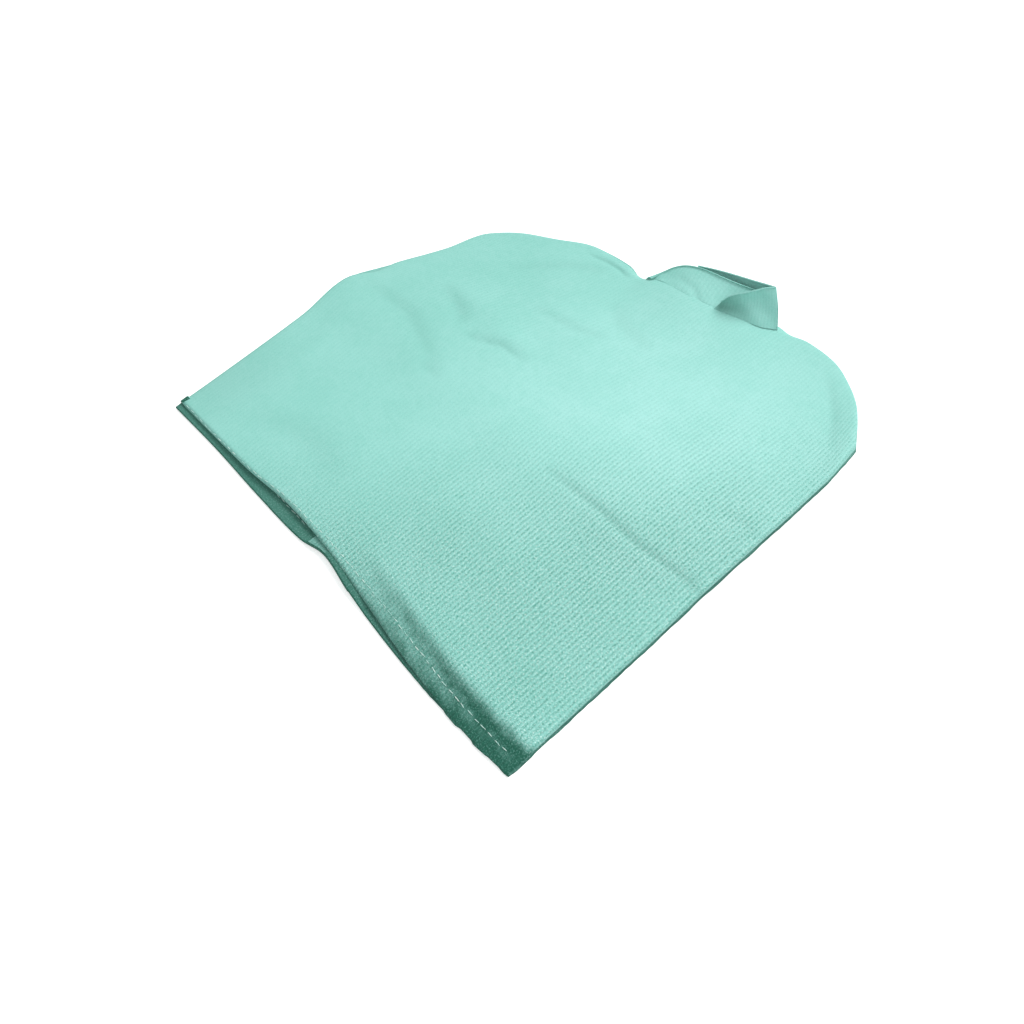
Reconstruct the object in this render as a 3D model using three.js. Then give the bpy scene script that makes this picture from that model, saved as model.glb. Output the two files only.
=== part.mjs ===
// Patient gown lying on its back with its sleeves folded under, front panel uppermost.
// Millimetres, +Z up. X runs along the bottom hem, Y from the hem to the neck.
// Every cloth piece is a thin closed sheet. The sheets lie in layers, one above the other:
// sleeves, back panels, seam allowances and hems, front panel, then the neck band.
// Left is -X and right is +X, as seen from above with the hem nearest.
import * as THREE from "three";

// ---------------------------------------------------------------- driving sizes
const CLOTH = 1.0; // thickness of one layer of cloth
const GAP = 0.4; // clearance between layers that lie on each other
const LAYER = CLOTH + GAP;

const HEM_WIDTH = 628; // flat width of the bottom hem
const BODY_LENGTH = 480; // hem to the outer end of the left shoulder
const UNDERARM = 282; // hem to the underarm point
const SLEEVE_LENGTH = 180; // armhole to cuff, folded under the body
const HEM_TURN = 19; // width of the turned bottom hem
const SLEEVE_TURN = 19; // width of the turned sleeve hem
const SEAM = 11; // width of a seam allowance
const OVERLAP = 80; // the right back panel laps over the left one by this much
const EDGE_TURN = 24; // width of the turned edges of the back opening
const LOFT = 13; // how far the front panel stands off the back panels
const NECK_WIDTH = 177; // distance between the two shoulder ends of the neck opening
const BAND_HEIGHT = 47; // height of the neck band
const THREAD = 0.7; // thickness of the sewing thread

const MINT = 0x9fe0cf;
const SHADED_MINT = 0x7cc7b2;
const SEAM_GREEN = 0x4f9f8b;
const THREAD_WHITE = 0xe9f7f1;

// ---------------------------------------------------------------- curves and grids
// A smooth curve through [position, value] stations.
function through(stations) {
  const slope = (i) => {
    const a = stations[Math.max(i - 1, 0)];
    const b = stations[Math.min(i + 1, stations.length - 1)];
    return (b[1] - a[1]) / (b[0] - a[0]);
  };
  return (t) => {
    const last = stations.length - 2;
    const found = stations.findIndex((s, i) => i <= last && t <= stations[i + 1][0]);
    const i = found < 0 ? last : found;
    const [t0, y0] = stations[i];
    const [t1, y1] = stations[i + 1];
    const width = t1 - t0;
    const s = THREE.MathUtils.clamp((t - t0) / width, 0, 1);
    const ease = s * s * (3 - 2 * s);
    const lean0 = slope(i) * width * s * (1 - s) * (1 - s);
    const lean1 = slope(i + 1) * width * s * s * (1 - s);
    return y0 + (y1 - y0) * ease + lean0 - lean1;
  };
}

// A straight ramp from 0 to 1 between two positions.
const ramp = (t, from, to) => THREE.MathUtils.clamp((t - from) / (to - from), 0, 1);

// Evenly spaced values from one number to another, both ends included.
function steps(from, to, count) {
  return Array.from({ length: count + 1 }, (_, i) => from + ((to - from) * i) / count);
}

// One closed sheet over a grid: place(u, v) is its lower face, offset its thickness.
function sheetGeometry(us, vs, place, offset) {
  const columns = us.length;
  const lower = vs.flatMap((v) => us.map((u) => place(u, v)));
  const upper = lower.map((p) => p.clone().add(offset));
  const position = [...lower, ...upper].flatMap((p) => [p.x, p.y, p.z]);
  const index = [];
  const quad = (a, b, c, d) => index.push(a, b, c, a, c, d);
  const low = (i, j) => j * columns + i;
  const high = (i, j) => low(i, j) + lower.length;
  const lastI = columns - 1;
  const lastJ = vs.length - 1;
  for (let j = 0; j < lastJ; j += 1) {
    for (let i = 0; i < lastI; i += 1) {
      quad(high(i, j), high(i + 1, j), high(i + 1, j + 1), high(i, j + 1));
      index.push(low(i, j), low(i + 1, j + 1), low(i + 1, j));
      index.push(low(i, j), low(i, j + 1), low(i + 1, j + 1));
    }
    quad(low(0, j), high(0, j), high(0, j + 1), low(0, j + 1));
    quad(low(lastI, j), low(lastI, j + 1), high(lastI, j + 1), high(lastI, j));
  }
  for (let i = 0; i < lastI; i += 1) {
    quad(low(i, 0), low(i + 1, 0), high(i + 1, 0), high(i, 0));
    quad(low(i, lastJ), high(i, lastJ), high(i + 1, lastJ), low(i + 1, lastJ));
  }
  const geometry = new THREE.BufferGeometry();
  geometry.setAttribute("position", new THREE.Float32BufferAttribute(position, 3));
  geometry.setIndex(index);
  geometry.computeVertexNormals();
  return geometry;
}

const group = new THREE.Group();
const UP = new THREE.Vector3(0, 0, CLOTH);

function addMesh(name, geometry, color) {
  const material = new THREE.MeshStandardMaterial({ color, roughness: 0.9, metalness: 0 });
  const mesh = new THREE.Mesh(geometry, material);
  mesh.name = name;
  group.add(mesh);
}

function addSheet(name, color, us, vs, place, offset = UP) {
  addMesh(name, sheetGeometry(us, vs, place, offset), color);
}

// ---------------------------------------------------------------- outline of the body
// u runs from the left side (0) to the right side (1), v from the hem (0) to the top (1).
const HEM_MIDDLE = 11;
const HEM_LEFT = HEM_MIDDLE - HEM_WIDTH / 2;
const HEM_RIGHT = HEM_LEFT + HEM_WIDTH;
const NECK_MIDDLE = 12;
const NECK_LEFT = NECK_MIDDLE - NECK_WIDTH / 2;
const NECK_RIGHT = NECK_LEFT + NECK_WIDTH;
const LEFT_TOP = HEM_LEFT + 38; // the outer end of the left shoulder
const RIGHT_TOP = HEM_RIGHT - 43; // and of the right one, which lies further from the hem
const RIGHT_RISE = 60;
const NECK_RISE = 90; // the neckline's height over the left shoulder's outer end
const ARMHOLE = BODY_LENGTH - UNDERARM;

// The x at a share of the way across the hem, a shoulder or the neck opening.
const acrossHem = (share) => THREE.MathUtils.lerp(HEM_LEFT, HEM_RIGHT, share);
const acrossLeft = (share) => THREE.MathUtils.lerp(LEFT_TOP, NECK_LEFT, share);
const acrossNeck = (share) => THREE.MathUtils.lerp(NECK_LEFT, NECK_RIGHT, share);
const acrossRight = (share) => THREE.MathUtils.lerp(NECK_RIGHT, RIGHT_TOP, share);

// The front hem is drawn in a little at its middle, and the back hem runs straight.
const HEM_LOW = -6; // how far the right corner lies in front of the left one
const frontHem = through([
  [HEM_LEFT, 0],
  [acrossHem(0.25), 5],
  [acrossHem(0.506), 15],
  [acrossHem(0.737), 4],
  [HEM_RIGHT, HEM_LOW],
]);
const backHem = through([
  [HEM_LEFT, 0],
  [HEM_RIGHT, HEM_LOW],
]);

// Left side: straight to the underarm, then the armhole fold up to the shoulder.
const leftEdge = through([
  [0, HEM_LEFT],
  [UNDERARM * 0.7, HEM_LEFT - 28],
  [UNDERARM, HEM_LEFT - 45],
  [UNDERARM + ARMHOLE * 0.24, HEM_LEFT - 28],
  [UNDERARM + ARMHOLE * 0.66, HEM_LEFT + 7],
  [BODY_LENGTH, LEFT_TOP],
]);

const rightEdge = through([
  [0, HEM_RIGHT],
  [UNDERARM, HEM_RIGHT - 18],
  [BODY_LENGTH, HEM_RIGHT - 32],
  [BODY_LENGTH + RIGHT_RISE, RIGHT_TOP],
]);

// Shoulder lines and neckline, from the left shoulder end to the right one.
function topLine(neckline) {
  return through([
    [LEFT_TOP, BODY_LENGTH],
    [acrossLeft(0.345), BODY_LENGTH + 45],
    [acrossLeft(0.585), BODY_LENGTH + 70],
    [acrossLeft(0.85), BODY_LENGTH + 81],
    [NECK_LEFT, BODY_LENGTH + 77],
    ...neckline,
    [NECK_RIGHT, BODY_LENGTH + 131],
    [acrossRight(0.16), BODY_LENGTH + 138],
    [acrossRight(0.465), BODY_LENGTH + 134],
    [acrossRight(0.77), BODY_LENGTH + 105],
    [RIGHT_TOP, BODY_LENGTH + RIGHT_RISE],
  ]);
}

const frontTop = topLine([
  [acrossNeck(0.15), BODY_LENGTH + 86],
  [acrossNeck(0.43), BODY_LENGTH + NECK_RISE],
  [acrossNeck(0.6), BODY_LENGTH + 101],
  [acrossNeck(0.8), BODY_LENGTH + 112],
]);
const backTop = topLine([
  [acrossNeck(0.15), BODY_LENGTH + 98],
  [acrossNeck(0.43), BODY_LENGTH + 114],
  [acrossNeck(0.6), BODY_LENGTH + 122],
  [acrossNeck(0.8), BODY_LENGTH + 129],
]);

// A Coons patch between the hem, the two sides and the top line.
function bodyPoint(u, v, hem, top, z) {
  const hemX = THREE.MathUtils.lerp(HEM_LEFT, HEM_RIGHT, u);
  const topX = THREE.MathUtils.lerp(LEFT_TOP, RIGHT_TOP, u);
  const leftY = THREE.MathUtils.lerp(hem(HEM_LEFT), top(LEFT_TOP), v);
  const rightY = THREE.MathUtils.lerp(hem(HEM_RIGHT), top(RIGHT_TOP), v);
  const straightLeft = THREE.MathUtils.lerp(HEM_LEFT, LEFT_TOP, v);
  const straightRight = THREE.MathUtils.lerp(HEM_RIGHT, RIGHT_TOP, v);
  const bowLeft = leftEdge(leftY) - straightLeft;
  const bowRight = rightEdge(rightY) - straightRight;
  const x = THREE.MathUtils.lerp(hemX, topX, v) + bowLeft * (1 - u) + bowRight * u;
  const y = THREE.MathUtils.lerp(hem(hemX), top(topX), v);
  return new THREE.Vector3(x, y, z);
}

// ---------------------------------------------------------------- heights of the layers
const HEIGHT = BODY_LENGTH + NECK_RISE;
const HEM_V = HEM_TURN / HEIGHT;
const SEAM_V = SEAM / HEIGHT;
const SEAM_U = SEAM / HEM_WIDTH;
const EDGE_U = EDGE_TURN / HEM_WIDTH;
const CENTRE_U = (NECK_MIDDLE - HEM_LEFT) / HEM_WIDTH;
const LEFT_END_U = CENTRE_U + OVERLAP / 2 / HEM_WIDTH;
const RIGHT_START_U = CENTRE_U - OVERLAP / 2 / HEM_WIDTH;
// Past the left panel's end, the right one comes down to the floor.
const RAMP_START_U = LEFT_END_U + 5 / HEM_WIDTH;
const RAMP_END_U = RAMP_START_U + 33 / HEM_WIDTH;
const SLEEVE_HEIGHT = 2 * CLOTH + 0.6; // two layers of sleeve and the air between them
const LIFT = SLEEVE_HEIGHT + GAP;
const LIFT_START = (UNDERARM - 77) / HEIGHT; // the body rises onto the sleeves from here
const LIFT_END = (UNDERARM - 26) / HEIGHT;
const ARM_V = UNDERARM / BODY_LENGTH;
const lift = (v) => LIFT * ramp(v, LIFT_START, LIFT_END);

// The right back panel passes over the left one and its turned edge.
function lap(u) {
  return 2 * LAYER * (1 - ramp(u, RAMP_START_U, RAMP_END_U));
}

const backLeft = (u, v, up = 0) => bodyPoint(u, v, backHem, backTop, lift(v) + up);
const backRight = (u, v, up = 0) => bodyPoint(u, v, backHem, backTop, lift(v) + lap(u) + up);

// The front panel's edges rest on the seam allowances, and its middle stands off.
const EDGE_STACK = 3 * LAYER;
const NECK_LOFT = 3; // it stands off this much more at the neck
const SIDE_RISE_U = 0.1; // the share of the width over which each side rises
const HEM_RISE_V = HEM_V + (LIFT_START - HEM_V) / 3;
const NECK_V = (ARM_V + 1 - SEAM_V) / 2;

function frontHeight(u, v) {
  const rise = Math.min(1, u / SIDE_RISE_U, (1 - u) / SIDE_RISE_U);
  const loft = LOFT * (0.62 + 0.38 * ramp(v, 0, HEM_RISE_V) - 0.45 * ramp(v, ARM_V, 1));
  return lift(v) + EDGE_STACK + rise * (loft + NECK_LOFT * ramp(v, NECK_V, 1));
}

const front = (u, v, up = 0) => bodyPoint(u, v, frontHem, frontTop, frontHeight(u, v) + up);

// ---------------------------------------------------------------- body panels
const BODY_V = [
  0,
  ...steps(HEM_V, LIFT_START, 3),
  LIFT_END,
  ...steps(ARM_V, 1 - SEAM_V, 4),
  1,
];
const LEFT_U = [0, SEAM_U, ...steps(0.1, LEFT_END_U - EDGE_U, 5), LEFT_END_U];
const RIGHT_U = [
  RIGHT_START_U,
  RIGHT_START_U + EDGE_U,
  RAMP_START_U,
  RAMP_END_U,
  ...steps(0.7, 1 - SEAM_U, 4),
  1,
];
const FRONT_U = [0, SEAM_U, ...steps(SIDE_RISE_U, 1 - SIDE_RISE_U, 12), 1 - SEAM_U, 1];

addSheet("front_panel", MINT, FRONT_U, BODY_V, front);
addSheet("back_panel_left", SHADED_MINT, LEFT_U, BODY_V, backLeft);
addSheet("back_panel_right", SHADED_MINT, RIGHT_U, BODY_V, backRight);

// ---------------------------------------------------------------- turned hems and edges
const betweenU = (us, from, to) => us.filter((u) => u >= from && u <= to);
const hemBand = [0, HEM_V];

addSheet("front_hem", SEAM_GREEN, FRONT_U, hemBand, (u, v) => front(u, v, -LAYER));
addSheet(
  "back_hem_left",
  SEAM_GREEN,
  betweenU(LEFT_U, 0, LEFT_END_U - EDGE_U),
  hemBand,
  (u, v) => backLeft(u, v, LAYER),
);
addSheet(
  "back_hem_right",
  SEAM_GREEN,
  betweenU(RIGHT_U, RIGHT_START_U + EDGE_U, 1),
  hemBand,
  (u, v) => backRight(u, v, LAYER),
);

// The turned edges start where the hem's turn ends.
const CLEAR_V = GAP / BODY_LENGTH;
const edgeV = [HEM_V + CLEAR_V, ...BODY_V.slice(2)];
addSheet(
  "back_edge_left",
  SEAM_GREEN,
  [LEFT_END_U - EDGE_U, LEFT_END_U],
  edgeV,
  (u, v) => backLeft(u, v, LAYER),
);
addSheet(
  "back_edge_right",
  SEAM_GREEN,
  [RIGHT_START_U, RIGHT_START_U + EDGE_U],
  edgeV,
  (u, v) => backRight(u, v, LAYER),
);

// ---------------------------------------------------------------- seam allowances
// Side seams run up to the underarm, armhole seams from there to the shoulder.
const belowArm = BODY_V.filter((v) => v > HEM_V && v < ARM_V);
const sideV = [HEM_V + CLEAR_V, ...belowArm, ARM_V - CLEAR_V];
const armV = BODY_V.filter((v) => v >= ARM_V && v <= 1 - SEAM_V);
const shoulderV = [1 - SEAM_V + CLEAR_V, 1];

addSheet("side_seam_left", SEAM_GREEN, [0, SEAM_U], sideV, (u, v) => backLeft(u, v, LAYER));
addSheet("side_seam_right", SEAM_GREEN, [1 - SEAM_U, 1], sideV, (u, v) => backRight(u, v, LAYER));
addSheet("armhole_seam_left", SEAM_GREEN, [0, SEAM_U], armV, (u, v) => backLeft(u, v, LAYER));
addSheet("armhole_seam_right", SEAM_GREEN, [1 - SEAM_U, 1], armV, (u, v) => backRight(u, v, LAYER));

const uOfTop = (x) => (x - LEFT_TOP) / (RIGHT_TOP - LEFT_TOP);
const neckLeftU = uOfTop(NECK_LEFT);
const neckRightU = uOfTop(NECK_RIGHT);
addSheet(
  "shoulder_seam_left",
  SEAM_GREEN,
  [0, ...LEFT_U.filter((u) => u > 0 && u < neckLeftU), neckLeftU],
  shoulderV,
  (u, v) => backLeft(u, v, LAYER),
);
addSheet(
  "shoulder_seam_right",
  SEAM_GREEN,
  [neckRightU, ...RIGHT_U.filter((u) => u > neckRightU)],
  shoulderV,
  (u, v) => backRight(u, v, LAYER),
);

// ---------------------------------------------------------------- sleeves
// Each sleeve is a flattened tube under the body, its open ends at the armhole and cuff.
const SLEEVE_INSET = 5; // the armhole end starts this far inside the body's side
const SLEEVE_LOW = UNDERARM + 8;
const SLEEVE_DEPTH = ARMHOLE * (5 / 6); // flat width of the sleeve at the armhole
const CUFF_DROP = 12; // the cuff sits this much closer to the hem than the armhole does

// A ring around the flat section, as [share across, share of height] corners.
function flatSection(low, high, inset) {
  const side = 2;
  const bottom = inset;
  const top = SLEEVE_HEIGHT - inset;
  const middle = SLEEVE_HEIGHT / 2;
  return [
    [low + inset, middle],
    [low + side + inset, bottom],
    [high - side - inset, bottom],
    [high - inset, middle],
    [high - side - inset, top],
    [low + side + inset, top],
  ];
}

function flatTubeGeometry(edge, direction, from, to) {
  const rings = [];
  for (const w of steps(from, to, 3)) {
    const low = SLEEVE_LOW - CUFF_DROP * (w / SLEEVE_LENGTH);
    const section = (inset) =>
      flatSection(low, low + SLEEVE_DEPTH, inset).map(([y, z]) => {
        const across = (y - low) / SLEEVE_DEPTH;
        const armholeX = edge(SLEEVE_LOW + across * SLEEVE_DEPTH);
        return [armholeX + direction * (SLEEVE_INSET + w), y, z];
      });
    rings.push([...section(0), ...section(CLOTH)]);
  }
  const corners = rings[0].length / 2;
  const index = [];
  const quad = (a, b, c, d) => {
    const turned = direction > 0 ? [a, b, c, a, c, d] : [a, c, b, a, d, c];
    index.push(...turned);
  };
  const at = (ring, corner, inner) => ring * 2 * corners + inner * corners + (corner % corners);
  const last = rings.length - 1;
  for (let k = 0; k < corners; k += 1) {
    for (let ring = 0; ring < last; ring += 1) {
      quad(at(ring, k, 0), at(ring, k + 1, 0), at(ring + 1, k + 1, 0), at(ring + 1, k, 0));
      quad(at(ring, k, 1), at(ring + 1, k, 1), at(ring + 1, k + 1, 1), at(ring, k + 1, 1));
    }
    quad(at(0, k, 0), at(0, k, 1), at(0, k + 1, 1), at(0, k + 1, 0));
    quad(at(last, k, 0), at(last, k + 1, 0), at(last, k + 1, 1), at(last, k, 1));
  }
  const geometry = new THREE.BufferGeometry();
  geometry.setAttribute("position", new THREE.Float32BufferAttribute(rings.flat(2), 3));
  geometry.setIndex(index);
  geometry.computeVertexNormals();
  return geometry;
}

const SLEEVE_CUT = SLEEVE_LENGTH - SLEEVE_TURN;
for (const [side, edge, direction] of [["left", leftEdge, 1], ["right", rightEdge, -1]]) {
  addMesh(`sleeve_${side}`, flatTubeGeometry(edge, direction, 0, SLEEVE_CUT - GAP), SHADED_MINT);
  addMesh(
    `sleeve_hem_${side}`,
    flatTubeGeometry(edge, direction, SLEEVE_CUT, SLEEVE_LENGTH),
    SEAM_GREEN,
  );
}

// ---------------------------------------------------------------- neck band
// The band stands up from the neckline and leans back. Its front right end stands free
// in front of the rest, and its back half is split where the back panels overlap.
const NECK_Z = frontHeight(0.5, 1) + LAYER; // the band sits on the front panel's edge
const BACK_BAND_Z = LIFT + 3 * LAYER; // and on the right back panel's
const BEHIND = 8; // how far the front left end passes behind the front right one
const NECK_ROOM = 5; // the back half stands this far behind the back neckline

// A band between two x positions: its base follows the line, and its top is base + lean.
function addBand(name, color, xs, baseY, baseZ, height, lean, normal) {
  const offset = normal.clone().normalize().multiplyScalar(CLOTH);
  const place = (x, v) => {
    const base = new THREE.Vector3(x, baseY(x), baseZ);
    return base.addScaledVector(lean(x).normalize(), v * height(x));
  };
  addSheet(name, color, xs, [0, 0.35, 0.7, 1], place, offset);
}

const TIP = 0.57; // where the standing front end begins
const TUCK = 0.12; // and how far the front left end runs on behind it

addBand(
  "neck_band_front_left",
  MINT,
  steps(NECK_LEFT + 2, acrossNeck(TIP + TUCK), 7),
  (x) => frontTop(x) + BEHIND * ramp(x, acrossNeck(TIP - 0.19), acrossNeck(TIP)),
  NECK_Z,
  through([
    [NECK_LEFT, 8],
    [acrossNeck(0.11), BAND_HEIGHT * 0.72],
    [acrossNeck(0.27), BAND_HEIGHT],
    [acrossNeck(TIP - 0.08), BAND_HEIGHT * 0.95],
    [acrossNeck(TIP + TUCK), BAND_HEIGHT * 0.66],
  ]),
  () => new THREE.Vector3(0.08, 0.8, 0.58),
  new THREE.Vector3(0, -0.58, 0.8),
);

addBand(
  "neck_band_front_right",
  MINT,
  steps(acrossNeck(TIP), NECK_RIGHT - 1, 5),
  frontTop,
  NECK_Z,
  through([
    [acrossNeck(TIP), 5],
    [acrossNeck(TIP + 0.07), BAND_HEIGHT * 0.5],
    [acrossNeck(TIP + 0.21), BAND_HEIGHT * 0.84],
    [NECK_RIGHT, BAND_HEIGHT * 1.06],
  ]),
  () => new THREE.Vector3(-0.57, 0.43, 0.7),
  new THREE.Vector3(0.3, -0.8, 0.5),
);

const backBandHeight = through([
  [NECK_LEFT, 14],
  [acrossNeck(0.16), BAND_HEIGHT * 0.85],
  [acrossNeck(0.28), BAND_HEIGHT],
  [NECK_RIGHT, BAND_HEIGHT * 1.1],
]);
// The right end of the back half leans inwards, to meet the front end's upper corner.
const inward = (x) => 0.1 + 0.42 * ramp(x, acrossNeck(0.61), NECK_RIGHT);
const backLean = (x) => new THREE.Vector3(-inward(x), 0.52, 0.85);
const backNormal = new THREE.Vector3(0, -0.85, 0.52);

addBand(
  "neck_band_back_left",
  SHADED_MINT,
  steps(NECK_LEFT - 1, NECK_MIDDLE + OVERLAP / 2, 5),
  (x) => backTop(x) + NECK_ROOM + 4.5 * LAYER,
  LIFT,
  (x) => backBandHeight(x) - 3,
  backLean,
  backNormal,
);
addBand(
  "neck_band_back_right",
  SHADED_MINT,
  steps(NECK_MIDDLE - OVERLAP / 2, NECK_RIGHT - 4, 6),
  (x) => backTop(x) + NECK_ROOM,
  BACK_BAND_Z,
  backBandHeight,
  backLean,
  backNormal,
);

// ---------------------------------------------------------------- hem threads
// One sewing thread along each hem, lying on the cloth just inside the turned edge.
const LINE_V = HEM_V * 0.86;
const THREAD_V = THREAD / BODY_LENGTH;
const THREAD_UP = new THREE.Vector3(0, 0, THREAD);
const THREAD_INSET_U = 0.012;

function addThread(name, us, place) {
  addSheet(name, THREAD_WHITE, us, [LINE_V - THREAD_V, LINE_V], place, THREAD_UP);
}

const frontThreadU = [THREAD_INSET_U, ...FRONT_U.slice(2, -2), 1 - THREAD_INSET_U];
const leftThreadEnd = RIGHT_START_U - THREAD_INSET_U;
const leftThreadU = LEFT_U.filter((u) => u > SEAM_U && u < leftThreadEnd);
const rightThreadU = RIGHT_U.filter((u) => u > LEFT_END_U && u < 1 - SEAM_U);
addThread("front_hem_thread", frontThreadU, (u, v) => front(u, v, LAYER));
addThread("back_hem_thread_left", [THREAD_INSET_U, ...leftThreadU, leftThreadEnd], (u, v) =>
  backLeft(u, v, 2 * LAYER));
addThread("back_hem_thread_right", [...rightThreadU, 1 - THREAD_INSET_U], (u, v) =>
  backRight(u, v, 2 * LAYER));

// ---------------------------------------------------------------- origin
// The origin is the middle of the footprint, on the surface that the gown lies on.
const box = new THREE.Box3().setFromObject(group);
const centre = box.getCenter(new THREE.Vector3());
group.position.set(-centre.x, -centre.y, -box.min.z);

export default group;
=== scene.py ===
"""A patient gown of waffle-woven cotton, lying on its back with its sleeves folded under.

Run as a script. Each piece of the gown has an operator of its own, and so has the stage.
Shapes are worked out in millimetres from the middle of the hem, with +Y towards the neck,
and go into the meshes in metres, in the frame's place.
"""
import math

import bpy
import numpy as np
from bpy.props import FloatProperty, FloatVectorProperty, PointerProperty
from mathutils import Matrix, Vector


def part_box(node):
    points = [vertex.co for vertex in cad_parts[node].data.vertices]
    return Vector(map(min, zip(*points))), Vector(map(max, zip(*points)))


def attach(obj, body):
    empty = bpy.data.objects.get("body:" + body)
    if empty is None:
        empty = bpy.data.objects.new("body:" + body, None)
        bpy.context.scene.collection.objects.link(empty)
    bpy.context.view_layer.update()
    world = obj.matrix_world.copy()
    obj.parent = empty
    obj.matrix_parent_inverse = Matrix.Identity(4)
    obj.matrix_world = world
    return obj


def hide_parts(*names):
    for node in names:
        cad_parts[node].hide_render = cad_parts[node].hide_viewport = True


bl_info = {
    "name": "Patient Gown",
    "version": (1, 0, 0),
    "blender": (4, 5, 0),
    "location": "3D View > Sidebar > Gown",
    "description": "Models a patient gown lying flat, piece by piece",
    "category": "Object",
}

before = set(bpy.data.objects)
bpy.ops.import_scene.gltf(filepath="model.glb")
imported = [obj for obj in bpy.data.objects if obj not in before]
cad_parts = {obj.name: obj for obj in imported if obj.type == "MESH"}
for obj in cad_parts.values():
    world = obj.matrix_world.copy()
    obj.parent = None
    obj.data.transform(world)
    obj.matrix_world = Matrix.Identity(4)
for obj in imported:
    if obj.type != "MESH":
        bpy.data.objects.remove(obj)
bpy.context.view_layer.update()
MM = 0.001
PI = math.pi


# ---------------------------------------------------------------- curves
def through(stations):
    """A smooth curve through (position, value) stations, for numbers and arrays."""
    at = np.array([s[0] for s in stations], float)
    value = np.array([s[1] for s in stations], float)
    n = np.arange(len(at))
    before, after = np.maximum(n - 1, 0), np.minimum(n + 1, len(at) - 1)
    slope = (value[after] - value[before]) / (at[after] - at[before])

    def curve(t):
        t = np.asarray(t, float)
        i = np.clip(np.searchsorted(at, t) - 1, 0, len(at) - 2)
        width = at[i + 1] - at[i]
        s = np.clip((t - at[i]) / width, 0, 1)
        ease = value[i] + (value[i + 1] - value[i]) * s * s * (3 - 2 * s)
        return ease + width * s * (1 - s) * (slope[i] * (1 - s) - slope[i + 1] * s)

    return curve


def ramp(t, start, end):
    return np.clip((np.asarray(t, float) - start) / (end - start), 0, 1)


def smooth(t, start, end):
    s = ramp(t, start, end)
    return s * s * (3 - 2 * s)


def between(t, start, full, fading, end):
    """0, up to 1 and back down to 0."""
    return smooth(t, start, full) * (1 - smooth(t, fading, end))


def rounded(t, start, end):
    """A quarter circle's rise from 0 to 1."""
    return np.sqrt(1 - (1 - ramp(t, start, end)) ** 2)


def hill(away, width):
    return np.exp(-(away / width) ** 2)


def lerp(a, b, t):
    return a + (b - a) * t


def spline(values, count):
    """Values along the first axis, passed through smoothly at count even positions."""
    values = np.asarray(values, float)
    ends = [2 * values[:1] - values[1:2], values, 2 * values[-1:] - values[-2:-1]]
    padded = np.concatenate(ends)
    t = np.linspace(0, len(values) - 1, count)
    i = np.minimum(t.astype(int), len(values) - 2)
    s = (t - i).reshape((-1,) + (1,) * (values.ndim - 1))
    a, b, c, d = (padded[i + k] for k in range(4))
    return b + 0.5 * s * (c - a + s * (2 * a - 5 * b + 4 * c - d + s * (3 * (b - c) + d - a)))


def patch(control, rows, columns):
    """A smooth surface through a control grid of points."""
    return spline(spline(control, rows).swapaxes(0, 1), columns).swapaxes(0, 1)


def to_line(x, y, points):
    """Distance to a line of points, and how far along it the nearest place is, 0 to 1."""
    best = np.full(np.shape(x), 1e9)
    along = np.zeros(np.shape(x))
    spans = len(points) - 1
    for k, ((ax, ay), (bx, by)) in enumerate(zip(points, points[1:])):
        dx, dy = bx - ax, by - ay
        t = ((x - ax) * dx + (y - ay) * dy) / (dx * dx + dy * dy)
        t = np.clip(t, 0, 1)
        away = np.hypot(x - ax - t * dx, y - ay - t * dy)
        nearer = away < best
        best = np.where(nearer, away, best)
        along = np.where(nearer, (k + t) / spans, along)
    return best, along


# ---------------------------------------------------------------- sizes and colours
def measure(name, description, default):
    return FloatProperty(name=name, description=description, default=default, unit="LENGTH")


def angle(name, description, degrees):
    return FloatProperty(
        name=name, description=description, default=math.radians(degrees), subtype="ANGLE")


def colour(name, description, default):
    return FloatVectorProperty(
        name=name, description=description, default=default, size=3, min=0, max=1, subtype="COLOR")


class GownSizes(bpy.types.PropertyGroup):
    """The gown's sizes, and where the camera stands. The body's match the CAD part's."""

    hem_width: measure("Hem width", "Flat width of the bottom hem", 0.628)
    body_length: measure("Body length", "Hem to the outer end of the left shoulder", 0.480)
    underarm: measure("Underarm", "Hem to the underarm point", 0.282)
    neck_width: measure("Neck width", "Distance between the ends of the neck opening", 0.177)
    sleeve_length: measure("Sleeve length", "Armhole to cuff, folded under the body", 0.180)
    hem_turn: measure("Hem turn", "Width of the turned hems", 0.019)
    seam: measure("Seam allowance", "Width of a seam allowance", 0.011)
    overlap: measure("Overlap", "How far the right back panel laps over the left one", 0.080)
    edge_turn: measure("Edge turn", "Width of the turned edges of the back opening", 0.024)
    cloth: measure("Cloth", "Thickness of one layer of cloth", 0.0008)
    stitch_pitch: measure("Stitch pitch", "Distance from one hem stitch to the next", 0.0102)
    stitch_length: measure("Stitch length", "Length of one hem stitch on the face", 0.0076)
    row_pitch: measure("Row pitch", "Width of one row of the weave", 0.0052)
    view_target: FloatVectorProperty(
        name="View target", description="The point that the camera looks at",
        default=(0.0976, -0.1193, 0.0), subtype="TRANSLATION")
    view_distance: measure("View distance", "From the camera to the view target", 1.3225)
    view_azimuth: angle("View azimuth", "0 looks along +Y, 90 degrees along -X", 53.05)
    view_elevation: angle("View elevation", "How steeply the camera looks down", 52.56)
    view_roll: angle("View roll", "Turn of the camera about its own axis", -4)
    lens: FloatProperty(
        name="Lens", description="Focal length on a 36 mm sensor, in millimetres", default=42.19)


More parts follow.
